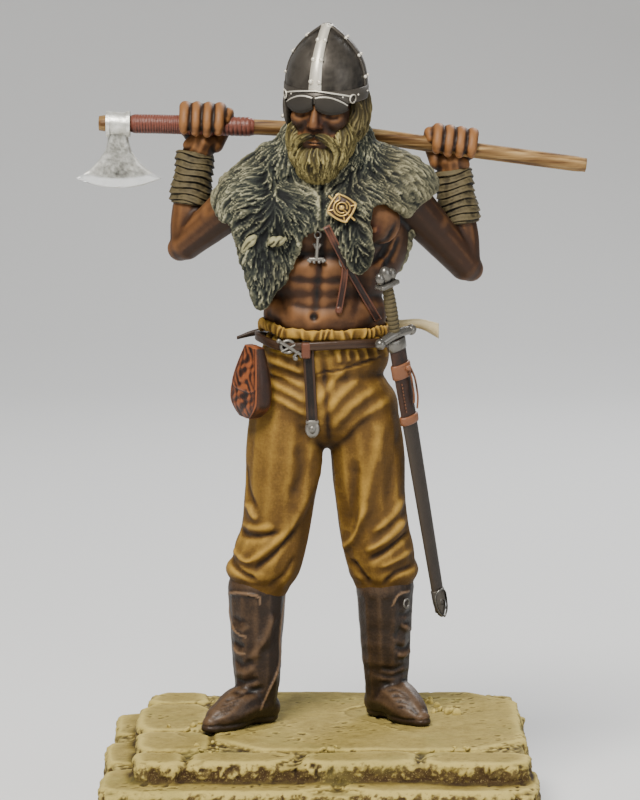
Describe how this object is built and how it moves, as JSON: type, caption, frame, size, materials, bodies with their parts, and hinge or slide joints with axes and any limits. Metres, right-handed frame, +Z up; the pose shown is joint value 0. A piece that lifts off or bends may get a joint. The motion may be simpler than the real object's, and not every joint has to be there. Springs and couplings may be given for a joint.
{
  "type": "viking warrior statue",
  "caption": "Painted cast display figure of a bearded viking warrior in helmet and pelt, holding a long axe across the shoulders, on a stepped stone base.",
  "frame": {"origin": "centre of the base's flat underside", "axes": "+Z up, the warrior faces -Y, +X towards the warrior's left side"},
  "size_m": [0.0747, 0.056, 0.1186],
  "materials": {
    "figure": "cast resin painted as skin, fur, cloth and leather",
    "base": "cast resin painted as sandy stone",
    "haft": "cast resin painted as wood with a red leather binding",
    "axe": "cast resin painted as worn steel",
    "sword": "cast resin painted as dark leather and steel",
    "seax": "cast resin painted as bone and leather",
    "pouch": "cast resin painted as red leather",
    "belt_end": "cast resin painted as dark leather",
    "baldric": "cast resin painted as brown leather",
    "pendant": "cast resin painted as silver",
    "brooch": "cast resin painted as gilt metal"
  },
  "bodies": {
    "root": {"figure": "figure", "paved_base": "base", "axe_haft": "haft", "axe_head": "axe", "sheathed_sword": "sword", "seax": "seax", "belt_pouch": "pouch", "belt_end": "belt_end", "baldric": "baldric", "pendant": "pendant", "brooch": "brooch"}
  },
  "joints": []
}
